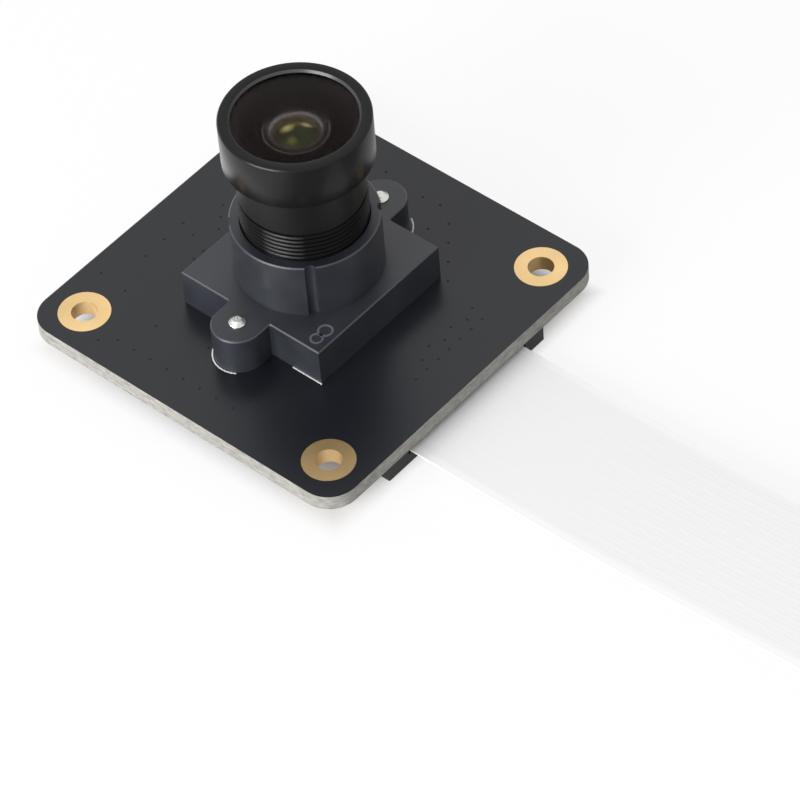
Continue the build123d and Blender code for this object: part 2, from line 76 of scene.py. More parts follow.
def look_from(aim, distance, azimuth, elevation, roll):
    """The camera's place and turn, as one matrix."""
    back = Vector((
        math.sin(azimuth) * math.cos(elevation),
        -math.cos(azimuth) * math.cos(elevation),
        math.sin(elevation),
    ))
    level_right = Vector((0, 0, 1)).cross(back).normalized()
    level_up = back.cross(level_right)
    right = level_right * math.cos(roll) - level_up * math.sin(roll)
    up = back.cross(right)
    turn = Matrix((right, up, back)).transposed()
    return Matrix.Translation(aim + back * distance) @ turn.to_4x4()


camera = bpy.data.objects.new("camera", bpy.data.cameras.new("camera"))
camera.data.sensor_width = 36.0
camera.data.lens = camera.data.sensor_width * FOCAL_PX / PHOTO_SIZE
camera.data.clip_end = 10.0
camera.matrix_world = look_from(AIM, DISTANCE, AZIMUTH, ELEVATION, ROLL)
bpy.context.scene.collection.objects.link(camera)
bpy.context.scene.camera = camera
print("camera lens, mm:", round(camera.data.lens, 1))

# %% [markdown]
# ## Writing a material as a sum
#
# A material is a graph of nodes. Placing Math nodes one by one hides the idea behind it, so
# `Field` wraps a socket that carries a number, and ordinary arithmetic on it adds the Math
# node. `Surface` holds one material and has one method for every other kind of node. After
# that, a worn edge or a printed line is a line of algebra.

# %% Fields and surfaces


class Field:
    """A number that varies over a surface."""

    def __init__(self, surface, socket):
        self.surface = surface
        self.socket = socket

    def math(self, operation, first, second=None, clamp=False):
        """Adds one Math node. Python's operators below all come here."""
        values = {0: first} if second is None else {0: first, 1: second}
        settings = {"operation": operation, "use_clamp": clamp}
        made = self.surface.node("ShaderNodeMath", settings, values)
        return Field(self.surface, made.outputs[0])

    def __add__(self, other):
        return self.math("ADD", self, other)

    def __radd__(self, other):
        return self.math("ADD", other, self)

    def __sub__(self, other):
        return self.math("SUBTRACT", self, other)

    def __rsub__(self, other):
        return self.math("SUBTRACT", other, self)

    def __mul__(self, other):
        return self.math("MULTIPLY", self, other)

    def __rmul__(self, other):
        return self.math("MULTIPLY", other, self)

    def __truediv__(self, other):
        return self.math("DIVIDE", self, other)

    def __rtruediv__(self, other):
        return self.math("DIVIDE", other, self)

    def __pow__(self, other):
        return self.math("POWER", self, other)

    def __gt__(self, other):
        return self.math("GREATER_THAN", self, other)

    def __lt__(self, other):
        return self.math("LESS_THAN", self, other)

    def __abs__(self):
        return self.math("ABSOLUTE", self)

    def clamped(self):
        return self.math("ADD", self, 0.0, clamp=True)

    def smooth(self, low, high):
        """0 below low, 1 above high, and an even slope between them."""
        return ((self - low) / (high - low)).clamped()

    def repeat(self, period):
        """The distance from the nearest multiple of the period."""
        return self.math("PINGPONG", self, period / 2)


class Surface:
    """One material. Constant values go on the shader's own sockets, and fields are linked."""

    def __init__(self, name, **constants):
        self.material = bpy.data.materials.new(name)
        self.material.use_nodes = True
        self.tree = self.material.node_tree
        self.shader = self.tree.nodes["Principled BSDF"]
        for key, value in constants.items():
            self.set(key.replace("_", " "), value)

    def set(self, name, value):
        """Sets one input of the material's shader."""
        self.feed(self.shader.inputs[name], value)

    def feed(self, socket, value):
        """Links a field or a socket, and writes a plain value."""
        if isinstance(value, Field):
            self.tree.links.new(value.socket, socket)
        elif isinstance(value, bpy.types.NodeSocket):
            self.tree.links.new(value, socket)
        elif socket.type == "RGBA" and len(value) == 3:
            socket.default_value = (*value, 1.0)
        else:
            socket.default_value = value

    def node(self, kind, settings=None, values=None):
        """Any node: its type, its settings, then the values or links of its sockets."""
        made = self.tree.nodes.new(kind)
        for key, value in (settings or {}).items():
            setattr(made, key, value)
        for key, value in (values or {}).items():
            self.feed(made.inputs[key], value)
        return made

    def place(self):
        """The point on the surface in metres, in the frame's own axes."""
        return self.node("ShaderNodeTexCoord").outputs["Object"]

    def axes(self):
        """The same point as three fields: east, north and up."""
        split = self.node("ShaderNodeSeparateXYZ", values={0: self.place()})
        return [Field(self, out) for out in split.outputs]

    def noise(self, size, detail=2.0, stretch=(1, 1, 1)):
        """Soft blotches about `size` metres across, from 0 to 1."""
        scaled = self.node(
            "ShaderNodeVectorMath", {"operation": "MULTIPLY"}, {0: self.place(), 1: stretch}
        )
        made = self.node(
            "ShaderNodeTexNoise",
            values={"Vector": scaled.outputs[0], "Scale": 1 / size, "Detail": detail},
        )
        return Field(self, made.outputs["Fac"])

    def mix(self, low, high, factor):
        """A colour between two colours."""
        made = self.node("ShaderNodeMix", {"data_type": "RGBA"})
        for socket in made.inputs:
            if socket.identifier == "Factor_Float":
                self.feed(socket, factor)
            elif socket.identifier == "A_Color":
                self.feed(socket, low)
            elif socket.identifier == "B_Color":
                self.feed(socket, high)
        return next(o for o in made.outputs if o.identifier == "Result_Color")

    def bump(self, height, depth):
        """Relief of that depth in metres, where height runs from 0 to 1."""
        values = {"Height": height, "Distance": depth, "Strength": 1.0}
        made = self.node("ShaderNodeBump", values=values)
        self.set("Normal", made.outputs[0])


def dress(names, surface):
    """Gives frame nodes a material. Only the material slot changes."""
    for name in names:
        slots = nodes[name].data.materials
        slots.clear()
        slots.append(surface.material)
    print(surface.material.name, "on", ", ".join(names))


# %% [markdown]
# ## The moulded plastics
#
# Black plastic is never quite black: it picks up the white room as a soft grey sheen, and its
# surface has the fine grain of the mould. Two sizes of noise do this. The coarse one shifts the
# roughness, so that the sheen is uneven, and makes the plastic slightly paler in blotches. The
# fine one is a bump a few microns deep.

# %% Plastics


def moulded(name, colour, roughness, grain=0.00012, depth=0.000004):
    """A plastic with blotches, and with grain of that size and depth in metres."""
    surface = Surface(name)
    blotch = surface.noise(0.004, 3.0)
    fine = surface.noise(grain, 2.0)
    pale = tuple(1.5 * c + 0.004 for c in colour)
    surface.set("Base Color", surface.mix(colour, pale, blotch.smooth(0.35, 0.75)))
    surface.set("Roughness", roughness - 0.06 + blotch * 0.12)
    surface.bump(fine, depth)
    return surface


holder_plastic = moulded("holder_plastic", (0.0095, 0.0110, 0.0165), 0.42)
holder_plastic.set("IOR", 1.65)
socket_plastic = moulded("socket_plastic", (0.018, 0.018, 0.019), 0.5)
chip_resin = moulded("chip_resin", (0.016, 0.016, 0.017), 0.62, 0.00008, 0.000006)
seal_rubber = moulded("seal_rubber", (0.003, 0.003, 0.003), 0.8)
dress(["lens_holder"], holder_plastic)
dress(["connector_housing", "connector_slider"], socket_plastic)
dress(["memory_chip", "regulators"], chip_resin)
dress(["front_seal"], seal_rubber)

# %% [markdown]
# ## The metals
#
# Gold plating over copper is slightly uneven, tin is a dull pale grey with a faint crystal
# pattern, and a zinc-plated screw is bright. Each is a metallic surface whose roughness and
# tint follow noise, because a metal with one even roughness looks like plastic. Gold and the
# board's coating stay above a roughness of 0.275. Below that, the denoiser takes them for
# mirrors and leaves grain in them.

# %% Metals


def plated(name, colour, roughness, spread, grain, depth):
    """A metal whose roughness varies by spread, over grain of that size and depth."""
    surface = Surface(name, Metallic=1.0)
    blotch = surface.noise(grain * 6, 3.0)
    fine = surface.noise(grain, 2.0)
    dull = tuple(0.82 * c for c in colour)
    surface.set("Base Color", surface.mix(dull, colour, blotch.smooth(0.3, 0.7)))
    surface.set("Roughness", roughness + spread * (fine - 0.5))
    surface.bump(fine, depth)
    return surface


gold = plated("gold_plating", (0.96, 0.68, 0.33), 0.30, 0.04, 0.0008, 0.0000012)
tin = plated("tinned_metal", (0.78, 0.77, 0.74), 0.32, 0.2, 0.0001, 0.000004)
zinc = plated("screw_steel", (0.74, 0.74, 0.70), 0.26, 0.3, 0.00012, 0.00005)
can_metal = plated("can_metal", (0.80, 0.76, 0.66), 0.3, 0.15, 0.0002, 0.000003)
dress(["hole_plating"], gold)
dress(["connector_contacts", "connector_tabs", "memory_leads", "regulator_leads"], tin)
dress(["chip_terminals", "near_contacts", "far_contacts"], tin)
dress(["holder_screws"], zinc)
dress(["oscillator_lid"], can_metal)

# %% [markdown]
# ## The board
#
# The board is a sandwich of glass fibre and resin, coated black on both faces. The coating is
# smooth and thin, so copper tracks under it show as faint raised paths, and the cut edge shows
# the pale laminate in thin layers. All of it is one piece, so its material asks how high a
# point is: between the two faces it is the cut edge, and on a face it is the coating.

# %% Board coating and laminate
board_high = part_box("circuit_board")[1]
BOARD_TOP = board_high.z
FACE_SKIN = 0.03 * MM
coating = Surface("solder_mask")
_, _, height = coating.axes()
edge_share = (height > FACE_SKIN) * (height < BOARD_TOP - FACE_SKIN)
layers = coating.noise(0.00022, 3.0, (0.25, 0.25, 2.2))
weave = coating.noise(0.0006, 2.0)
laminate_tone = (layers * 0.7 + weave * 0.3).smooth(0.3, 0.7)
laminate = coating.mix((0.15, 0.147, 0.132), (0.36, 0.35, 0.32), laminate_tone)
black = coating.mix((0.0040, 0.0050, 0.0088), (0.0056, 0.0066, 0.0104), coating.noise(0.006))
coating.set("Base Color", coating.mix(black, laminate, edge_share))
coating.set("Roughness", 0.278 + 0.022 * coating.noise(0.003) + 0.4 * edge_share)
coating.bump(coating.noise(0.0009, 3.0) * (1 - edge_share) + layers * edge_share, 0.000004)
dress(["circuit_board"], coating)

# %% [markdown]
# ## Chips, sensor and film
#
# The small ceramic parts are matt, and each kind has its own colour. The sensor's silicon
# shines in purple and green, and the stiffening film at the ends of the cable is blue.

# %% Ceramics and films


def ceramic(name, colour, roughness):
    """A matt ceramic with pale specks."""
    surface = Surface(name)
    speck = surface.noise(0.00012, 3.0)
    pale = tuple(min(1.0, 1.35 * c) for c in colour)
    surface.set("Base Color", surface.mix(colour, pale, speck.smooth(0.35, 0.65)))
    surface.set("Roughness", roughness + 0.1 * (speck - 0.5))
    surface.bump(speck, 0.000005)
    return surface


dress(["capacitors"], ceramic("capacitor_ceramic", (0.36, 0.25, 0.15), 0.6))
dress(["resistors"], ceramic("resistor_ceramic", (0.02, 0.02, 0.022), 0.5))
dress(["sensor_carrier", "oscillator_base"], ceramic("ceramic_package", (0.03, 0.03, 0.035), 0.5))

PIXEL_ROW = 0.00002
silicon = Surface("silicon", Metallic=0.9)
across, _, _ = silicon.axes()
silicon.set("Base Color", silicon.mix((0.12, 0.07, 0.16), (0.08, 0.15, 0.10), silicon.noise(0.002)))
silicon.set("Roughness", 0.12 + 0.08 * (across.repeat(PIXEL_ROW) / (PIXEL_ROW / 2)))
dress(["sensor_die"], silicon)

stiffener_film = Surface("stiffener_film", IOR=1.5)
stiffener_film.set(
    "Base Color",
    stiffener_film.mix((0.02, 0.10, 0.42), (0.03, 0.14, 0.50), stiffener_film.noise(0.002)),
)
stiffener_film.set("Roughness", 0.28 + 0.1 * stiffener_film.noise(0.001))
dress(["near_stiffener", "far_stiffener"], stiffener_film)

# %% [markdown]
# ## Meshes with code
#
# Round pieces are turned: an outline of radius and height is swept round the axis. Blender's
# Spin tool does the same, but a direct mesh keeps the seam and the poles closed and its faces
# in order, so that smooth shading and the export have nothing to repair.

# %% Helpers for meshes


def new_piece(name, mesh, surface, body):
    """Puts a mesh in the scene as a piece that rides on a body."""
    piece = bpy.data.objects.new(name, mesh)
    bpy.context.scene.collection.objects.link(piece)
    mesh.materials.clear()
    mesh.materials.append(surface.material)
    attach(piece, body)
    print(name, "faces:", len(mesh.polygons))
    return piece


def shade(mesh, angle=math.radians(32)):
    """Smooth shading, with creases where faces meet at more than the angle."""
    mesh.shade_smooth()
    mesh.set_sharp_from_angle(angle=angle)
    return mesh


def turned(name, outline, segments=144):
    """A closed solid of revolution from a closed outline of (radius, height), in metres."""
    rings = []
    points = []
    for radius, z in outline:
        if radius < 1e-7:
            rings.append([len(points)] * segments)
            points.append((0, 0, z))
            continue
        rings.append(range(len(points), len(points) + segments))
        for i in range(segments):
            a = 2 * math.pi * i / segments
            points.append((radius * math.cos(a), radius * math.sin(a), z))
    faces = []
    for low, high in zip(rings, rings[1:] + rings[:1]):
        for i in range(segments):
            j = (i + 1) % segments
            face = list(dict.fromkeys((low[i], low[j], high[j], high[i])))
            if len(face) > 2:
                faces.append(face)
    mesh = bpy.data.meshes.new(name)
    mesh.from_pydata(points, [], faces)
    mesh.validate()
    return shade(outwards(mesh))


def outwards(mesh):
    """Turns a closed mesh's faces so that they all point out of it."""
    work = bmesh.new()
    work.from_mesh(mesh)
    bmesh.ops.recalc_face_normals(work, faces=work.faces)
    work.to_mesh(mesh)
    work.free()
    return mesh


# %% [markdown]
# ## Growing repeated things with Geometry Nodes
#
# A thread is one ridge that winds round and round, and the dots on the board are one dot at
# many places. Both are better described than drawn: a node tree takes the turns and radius, or
# the two ends of a row, and makes the mesh. `grow` runs a tree once with its inputs set and
# keeps the result as a plain mesh, because the finished piece must not depend on a modifier.

# %% Helpers for geometry nodes


def node_tree(name, inputs):
    """A geometry node group with named inputs and one geometry output."""
    tree = bpy.data.node_groups.new(name, "GeometryNodeTree")
    for label, kind in inputs.items():
        tree.interface.new_socket(name=label, in_out="INPUT", socket_type=kind)
    tree.interface.new_socket(name="Geometry", in_out="OUTPUT", socket_type="NodeSocketGeometry")
    entry = tree.nodes.new("NodeGroupInput")
    leave = tree.nodes.new("NodeGroupOutput")
    return tree, entry.outputs, leave.inputs


def wire(tree, kind, settings=None, values=None):
    """Adds a node, with its settings first and then its values or links."""
    made = tree.nodes.new(kind)
    for key, value in (settings or {}).items():
        setattr(made, key, value)
    for key, value in (values or {}).items():
        if isinstance(value, bpy.types.NodeSocket):
            tree.links.new(value, made.inputs[key])
        else:
            made.inputs[key].default_value = value
    return made


def grow(tree, values):
    """Evaluates the tree once with these inputs and returns the result as a mesh."""
    host = bpy.data.objects.new("host", bpy.data.meshes.new("host"))
    bpy.context.scene.collection.objects.link(host)
    modifier = host.modifiers.new("grow", "NODES")
    modifier.node_group = tree
    for item in tree.interface.items_tree:
        if item.in_out == "INPUT" and item.name in values:
            modifier[item.identifier] = values[item.name]
    bpy.context.view_layer.update()
    evaluated = host.evaluated_get(bpy.context.evaluated_depsgraph_get())
    mesh = bpy.data.meshes.new_from_object(evaluated)
    bpy.data.objects.remove(host)
    return mesh


def joined(name, meshes):
    """One mesh made of several."""
    work = bmesh.new()
    for mesh in meshes:
        work.from_mesh(mesh)
    whole = bpy.data.meshes.new(name)
    work.to_mesh(whole)
    work.free()
    for mesh in meshes:
        bpy.data.meshes.remove(mesh)
    return whole


# %% A tree for screw threads
thread_tree, given, result = node_tree("thread", {
    "Turns": "NodeSocketFloat",
    "Radius": "NodeSocketFloat",
    "Height": "NodeSocketFloat",
    "Ridge": "NodeSocketFloat",
    "Bottom": "NodeSocketVector",
    "Material": "NodeSocketMaterial",
})
helix = wire(thread_tree, "GeometryNodeCurveSpiral", values={
    "Resolution": 96,
    "Rotations": given["Turns"],
    "Start Radius": given["Radius"],
    "End Radius": given["Radius"],
    "Height": given["Height"],
})
upright = wire(
    thread_tree, "GeometryNodeSetCurveNormal", {"mode": "Z_UP"}, {"Curve": helix.outputs["Curve"]}
)
ridge = wire(thread_tree, "GeometryNodeCurvePrimitiveCircle", values={
    "Resolution": 4,
    "Radius": given["Ridge"],
})
wound = wire(thread_tree, "GeometryNodeCurveToMesh", values={
    "Curve": upright.outputs["Curve"],
    "Profile Curve": ridge.outputs["Curve"],
    "Fill Caps": True,
})
lifted = wire(thread_tree, "GeometryNodeTransform", values={
    "Geometry": wound.outputs["Mesh"],
    "Translation": given["Bottom"],
})
real = wire(thread_tree, "GeometryNodeRealizeInstances", values={"Geometry": lifted.outputs[0]})
painted = wire(thread_tree, "GeometryNodeSetMaterial", values={
    "Geometry": real.outputs[0],
    "Material": given["Material"],
})
thread_tree.links.new(painted.outputs[0], result["Geometry"])
print("nodes in the thread's tree:", len(thread_tree.nodes))

# %% [markdown]
# ## The lens barrel
#
# The barrel is turned from one bar and anodised black: a threaded tail, a plain neck and a wide
# head. The frame's solid has a plain tail of the thread's outer size. Here the tail is cut down
# to the bottom of the thread, and a ridge of square section set on its corner winds round it at
# half a millimetre a turn. The thread has a black of its own, darker and smoother, and its
# crests carry a painted glint: pale metal on the side that faces the camera, a little to its
# left, where the lamp catches them. Three rings on the barrel are pale too, where bare metal
# shows: the bevel inside the rim, a line round the bowl, and the cone round the second glass.
# The bore below that cone is painted a faint olive, a painted reflection of the second glass.

# %% Barrel
anodised = Surface("black_anodised", IOR=1.30)
fine_lines = anodised.noise(0.00006, 2.0, (0.05, 0.05, 1.0))
cloud = anodised.noise(0.003, 3.0)
black_dye = anodised.mix((0.0040, 0.0040, 0.0044), (0.0065, 0.0065, 0.0070), cloud)
anodised.bump(fine_lines, 0.000003)

barrel_low, barrel_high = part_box("lens_barrel")
glass_low, glass_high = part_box("front_element")
second_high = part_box("second_element")[1]
PITCH = 0.5 * MM
THREAD_R = 6.0 * MM
RIDGE = 0.27 * MM
THREAD_TOP = BOARD_TOP + 13.4 * MM
NECK_R = 5.9 * MM
HEAD_BOTTOM = BOARD_TOP + 17.5 * MM
HEAD_R = barrel_high.x
LENS_FRONT = barrel_high.z
LENS_REAR = barrel_low.z
LIP_R = 5.78 * MM
LIP_DEPTH = 0.35 * MM
POCKET_R = glass_high.x + 0.02 * MM
SHELF = glass_low.z
SEAL_GROOVE_R = POCKET_R - 0.82 * MM
GROOVE_FLOOR = SHELF - 0.6 * MM
NOSE_R = 2.9 * MM
NOSE_FLAT_R = 2.75 * MM
NOSE_TOP = SHELF + 0.2 * MM
CONE_R = 2.5 * MM
THROAT_R = 2.05 * MM
THROAT_TOP = NOSE_TOP - 0.35 * MM
THROAT_BOTTOM = SHELF - 0.7 * MM
DOME_ROOM_R = 2.45 * MM
REAR_BORE_R = second_high.x + 0.02 * MM
SHOULDER = SHELF - 1.3 * MM
root_r = THREAD_R - RIDGE
barrel_outline = [
    (REAR_BORE_R, LENS_REAR),
    (root_r - 0.1 * MM, LENS_REAR),
    (root_r, LENS_REAR + 0.1 * MM),
    (root_r, THREAD_TOP - 0.15 * MM),
    (NECK_R, THREAD_TOP),
    (NECK_R, HEAD_BOTTOM - 0.08 * MM),
    (NECK_R + 0.08 * MM, HEAD_BOTTOM),
    (HEAD_R - 0.3 * MM, HEAD_BOTTOM),
    (HEAD_R - 0.02 * MM, HEAD_BOTTOM + 0.26 * MM),
    (HEAD_R, HEAD_BOTTOM + 0.32 * MM),
    (HEAD_R, LENS_FRONT - 0.17 * MM),
    (HEAD_R - 0.03 * MM, LENS_FRONT - 0.1 * MM),
    (HEAD_R - 0.1 * MM, LENS_FRONT - 0.02 * MM),
    (HEAD_R - 0.17 * MM, LENS_FRONT),
    (LIP_R + 0.24 * MM, LENS_FRONT),
    (LIP_R + 0.18 * MM, LENS_FRONT - 0.02 * MM),
    (LIP_R + 0.02 * MM, LENS_FRONT - 0.22 * MM),
    (LIP_R, LENS_FRONT - 0.27 * MM),
    (LIP_R, LENS_FRONT - LIP_DEPTH),
    (POCKET_R, LENS_FRONT - LIP_DEPTH),
    (POCKET_R, GROOVE_FLOOR),
    (SEAL_GROOVE_R, GROOVE_FLOOR),
    (SEAL_GROOVE_R, SHELF),
    (NOSE_R, SHELF),
    (NOSE_FLAT_R, NOSE_TOP),
    (CONE_R, NOSE_TOP),
    (THROAT_R, THROAT_TOP),
    (THROAT_R, THROAT_BOTTOM),
    (DOME_ROOM_R, THROAT_BOTTOM),
    (DOME_ROOM_R, SHOULDER),
    (REAR_BORE_R, SHOULDER),
]
east, north, up = anodised.axes()
from_axis = (east * east + north * north) ** 0.5


def between(field, low, high):
    """1 where the field lies between two values, and 0 elsewhere."""
    return (field > low) * (field < high)


BARE_METAL = (0.20, 0.20, 0.205)
PAINTED_GLASS_REFLECTION = (0.085, 0.080, 0.015)
BEVEL_SHINE = 0.3
LINE_SHINE = 0.5
HAIR = 0.01 * MM
rim_bevel = between(from_axis, LIP_R + HAIR, LIP_R + 0.2 * MM) * (up > LENS_FRONT - 0.25 * MM)
on_cone = between(up, SHELF - 0.2 * MM, NOSE_TOP + HAIR)
nose_cone = between(from_axis, CONE_R - 0.23 * MM, CONE_R + HAIR) * on_cone
on_shelf = between(up, SHELF - HAIR, SHELF + HAIR)
bowl_line = between(from_axis, NOSE_R + 0.07 * MM, NOSE_R + 0.19 * MM) * on_shelf
bare = (rim_bevel * BEVEL_SHINE + nose_cone + bowl_line * LINE_SHINE).clamped()
# A band of the bore above the second glass is painted olive: a painted reflection of its coating.
in_throat = between(from_axis, THROAT_R - 0.05 * MM, THROAT_R + 0.06 * MM)
throat_reflection_band = in_throat * between(up, THROAT_BOTTOM - HAIR, NOSE_TOP)
dye_and_painted_reflection = anodised.mix(black_dye, PAINTED_GLASS_REFLECTION, throat_reflection_band)
anodised.set("Base Color", anodised.mix(dye_and_painted_reflection, BARE_METAL, bare))
neck = up < HEAD_BOTTOM - 0.05 * MM
anodised.set("Roughness", 0.20 + 0.08 * cloud + 0.04 * fine_lines + 0.10 * bare + 0.12 * neck)
anodised.set("Metallic", bare)
barrel_mesh = turned("barrel", barrel_outline, 192)
barrel = new_piece("barrel", barrel_mesh, anodised, "barrel")
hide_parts("lens_barrel")

# %% Thread
GLINT_ANGLE = math.radians(21)
GLINT_DEPTH = 0.11 * MM
thread_black = Surface("thread_black", IOR=1.15)
cut_marks = thread_black.noise(0.0002, 2.0)
thread_dye = thread_black.mix((0.0035, 0.0035, 0.004), (0.006, 0.006, 0.0065), cut_marks)
east, north, _ = thread_black.axes()
ridge_radius = (east * east + north * north) ** 0.5
# The crests are painted pale and metallic in a narrow band that faces the camera, a little to its
# left: a painted glint of the lamp.
glint_side = AZIMUTH - GLINT_ANGLE
facing = (east * math.sin(glint_side) - north * math.cos(glint_side)) / ridge_radius
crest = ridge_radius > THREAD_R - GLINT_DEPTH
painted_glint = facing.smooth(0.94, 1.0) * crest * (0.14 + 0.20 * cut_marks)
thread_black.set("Base Color", thread_black.mix(thread_dye, BARE_METAL, painted_glint))
thread_black.set("Metallic", painted_glint)
thread_black.set("Roughness", 0.16 + 0.08 * cut_marks)
thread_height = THREAD_TOP - LENS_REAR - 0.5 * MM
thread_mesh = grow(thread_tree, {
    "Turns": thread_height / PITCH,
    "Radius": root_r,
    "Height": thread_height,
    "Ridge": RIDGE,
    "Bottom": (0.0, 0.0, LENS_REAR + 0.2 * MM),
    "Material": thread_black.material,
})
new_piece("lens_thread", thread_mesh, thread_black, "barrel")
print("thread turns:", round(thread_height / PITCH, 1))
dress(["front_spacer", "rear_spacer", "aperture_stop", "rear_retainer"], anodised)

# %% [markdown]
# ## The glass
#
# Looking into a wide-angle lens, the eye sees a dark pool with a few rings in it. The pool is
# the front glass, clear in the middle and painted black on its back outside the bowl. A real
# coating weakens its mirror image to a faint brown, so it has a low index, a brown tint and a
# thin coat, and it is slightly rough, because the denoiser leaves grain on a perfect mirror
# that is this dark. The pale ring is the cone round the next glass, the small olive disc in the
# middle. Its olive colour is mostly a faint glow, brighter on its near side, which is a painted
# reflection of its coating. A photographer's lamps would show in it as soft yellow and green
# marks. They are painted here as a faint glow in its coating, at places given to the right of
# and behind the middle, so that they stay on the glass from every side.

# %% Front glass
BOWL_R = 3.12 * MM
front_glass = Surface(
    "coated_glass",
    IOR=1.14,
    Transmission_Weight=1.0,
    Roughness=0.28,
    Specular_Tint=(1.0, 0.48, 0.36),
    Coat_Weight=0.25,
    Coat_IOR=1.36,
    Coat_Roughness=0.28,
)
tint = front_glass.noise(0.004, 1.0)
east, north, up = front_glass.axes()
from_axis = (east * east + north * north) ** 0.5
back_flat = (from_axis > BOWL_R) * (up < SHELF + HAIR)
painted = (back_flat + (from_axis > POCKET_R - 0.06 * MM)).clamped()
clear_tint = front_glass.mix((0.80, 0.74, 0.70), (0.84, 0.78, 0.74), tint)
front_glass.set("Base Color", front_glass.mix(clear_tint, (0.006, 0.006, 0.006), painted))
dress(["front_element"], front_glass)

# %% Clear glass
clear_glass = Surface("clear_optical_glass", IOR=1.5, Transmission_Weight=1.0, Roughness=0.01)
clear_glass.set(
    "Base Color",
    clear_glass.mix((0.90, 0.94, 0.88), (0.94, 0.96, 0.92), clear_glass.noise(0.003)),
)
dress(["third_element", "doublet_front", "doublet_rear", "rear_element"], clear_glass)
dress(["sensor_window"], clear_glass)

# %% Coated glass
green_coat = Surface(
    "green_coated_glass",
    IOR=1.13,
    Specular_Tint=(1.0, 0.95, 0.35),
    Emission_Strength=1.0,
)
east, north, _ = green_coat.axes()
towards_right = east * math.cos(AZIMUTH) + north * math.sin(AZIMUTH)
away = north * math.cos(AZIMUTH) - east * math.sin(AZIMUTH)
lamp_images = [
    (-0.10, 1.85, 1.30, (0.13, 0.115, 0.035)),
    (-0.86, 0.84, 0.85, (0.44, 0.40, 0.15)),
    (1.05, 1.30, 0.70, (0.50, 0.43, 0.24)),
    (-0.46, -1.02, 0.65, (0.085, 0.105, 0.022)),
    (0.85, -0.20, 0.75, (0.018, 0.030, 0.010)),
]
# Under the lamp marks the whole disc glows a faint olive, more on its near side: a painted
# reflection of its coating.
near_side_sheen = away.smooth(-0.2 * MM, -1.8 * MM)
painted_reflections = green_coat.mix((0.003, 0.007, 0.0), (0.016, 0.024, 0.006), near_side_sheen)
for right, back, size, colour in lamp_images:
    over = towards_right - right * MM
    up_by = away - back * MM
    apart = (over * over + up_by * up_by) ** 0.5
    painted_reflections = green_coat.mix(painted_reflections, colour, 1 - apart.smooth(0.0, size * MM))
green_coat.set("Emission Color", painted_reflections)
green_coat.set("Base Color", (0.004, 0.005, 0.001))
green_coat.set("Roughness", 0.12 + 0.05 * green_coat.noise(0.002))
dress(["second_element"], green_coat)

# %% Filter glass
filter_glass = Surface("filter_glass", IOR=1.5, Transmission_Weight=0.8, Roughness=0.02)
filter_glass.set(
    "Base Color",
    filter_glass.mix((0.45, 0.75, 0.75), (0.55, 0.82, 0.80), filter_glass.noise(0.002)),
)
dress(["infrared_filter"], filter_glass)

# %% [markdown]
# ## The ribbon cable
#
# The cable is white film with fifteen flat conductors pressed between its two faces. Their
# edges show as faint lines, which start some way out from the socket, and the margins beside
# them are brighter. It leaves the socket level, rises a little because it is springy, and comes
# down to the table outside the picture. Its line is a smooth spline that a few listed points
# control, and the film is a mesh that follows points read from it.

# %% Cable
CABLE_WIDTH = 16.0 * MM
CABLE_THICKNESS = 0.2 * MM
WIRE_PITCH = 1.0 * MM
WIRE_WIDTH = 0.6 * MM
WIRES = 15
WIRE_RELIEF = 0.0015 * MM
WIRE_SLOPE = 0.12 * MM
cable_route = [
    (-4.4, -1.0),
    (10.5, -1.0),
    (23.5, -0.75),
    (36.5, 0.35),
    (50.5, 1.35),
    (65.5, 1.0),
    (81.5, -0.5),
    (99.5, -1.95),
    (119.5, -2.45),
    (145.4, -2.45),
]
socket_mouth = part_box("connector_slider")[1].x


def spline_points(route):
    """Points along the smooth line that the route controls."""
    curve = bpy.data.curves.new("route", "CURVE")
    curve.dimensions = "3D"
    spline = curve.splines.new("NURBS")
    spline.points.add(len(route) - 1)
    for point, (x, z) in zip(spline.points, route):
        point.co = (socket_mouth + x * MM, 0, z * MM, 1)
    spline.order_u = 3
    spline.use_endpoint_u = True
    spline.resolution_u = 14
    holder = bpy.data.objects.new("route", curve)
    line = bpy.data.meshes.new_from_object(holder)
    points = [v.co.copy() for v in line.vertices]
    bpy.data.objects.remove(holder)
    bpy.data.curves.remove(curve)
    bpy.data.meshes.remove(line)
    return points


def film_section():
    """Across the film: offset from the middle, and the extra height over a conductor."""
    section = [(-CABLE_WIDTH / 2, 0.0)]
    for i in range(WIRES):
        middle = (i - (WIRES - 1) / 2) * WIRE_PITCH
        section += [
            (middle - WIRE_WIDTH / 2 - WIRE_SLOPE, 0.0),
            (middle - WIRE_WIDTH / 2, WIRE_RELIEF),
            (middle + WIRE_WIDTH / 2, WIRE_RELIEF),
            (middle + WIRE_WIDTH / 2 + WIRE_SLOPE, 0.0),
        ]
    section.append((CABLE_WIDTH / 2, 0.0))
    return section


def film_mesh(line):
    """The film's section, carried along the line and closed at both ends."""
    section = film_section()
    half = CABLE_THICKNESS / 2 - WIRE_RELIEF
    loop = [(y, half + rise) for y, rise in section]
    loop += [(y, -half - rise) for y, rise in reversed(section)]
    points = []
    for i, centre in enumerate(line):
        ahead = line[min(i + 1, len(line) - 1)] - line[max(i - 1, 0)]
        up = Vector((-ahead.z, 0, ahead.x)).normalized()
        points += [centre + up * rise + Vector((0, y, 0)) for y, rise in loop]
    count = len(loop)
    faces = []
    for i in range(len(line) - 1):
        for j in range(count):
            k = (j + 1) % count
            faces.append((i * count + j, (i + 1) * count + j, (i + 1) * count + k, i * count + k))
    wide = len(section)
    for start in (0, (len(line) - 1) * count):
        for j in range(wide - 1):
            faces.append([start + n for n in (j, j + 1, count - 2 - j, count - 1 - j)])
    mesh = bpy.data.meshes.new("ribbon")
    mesh.from_pydata(points, [], faces)
    mesh.validate()
    return shade(outwards(mesh), math.radians(50))


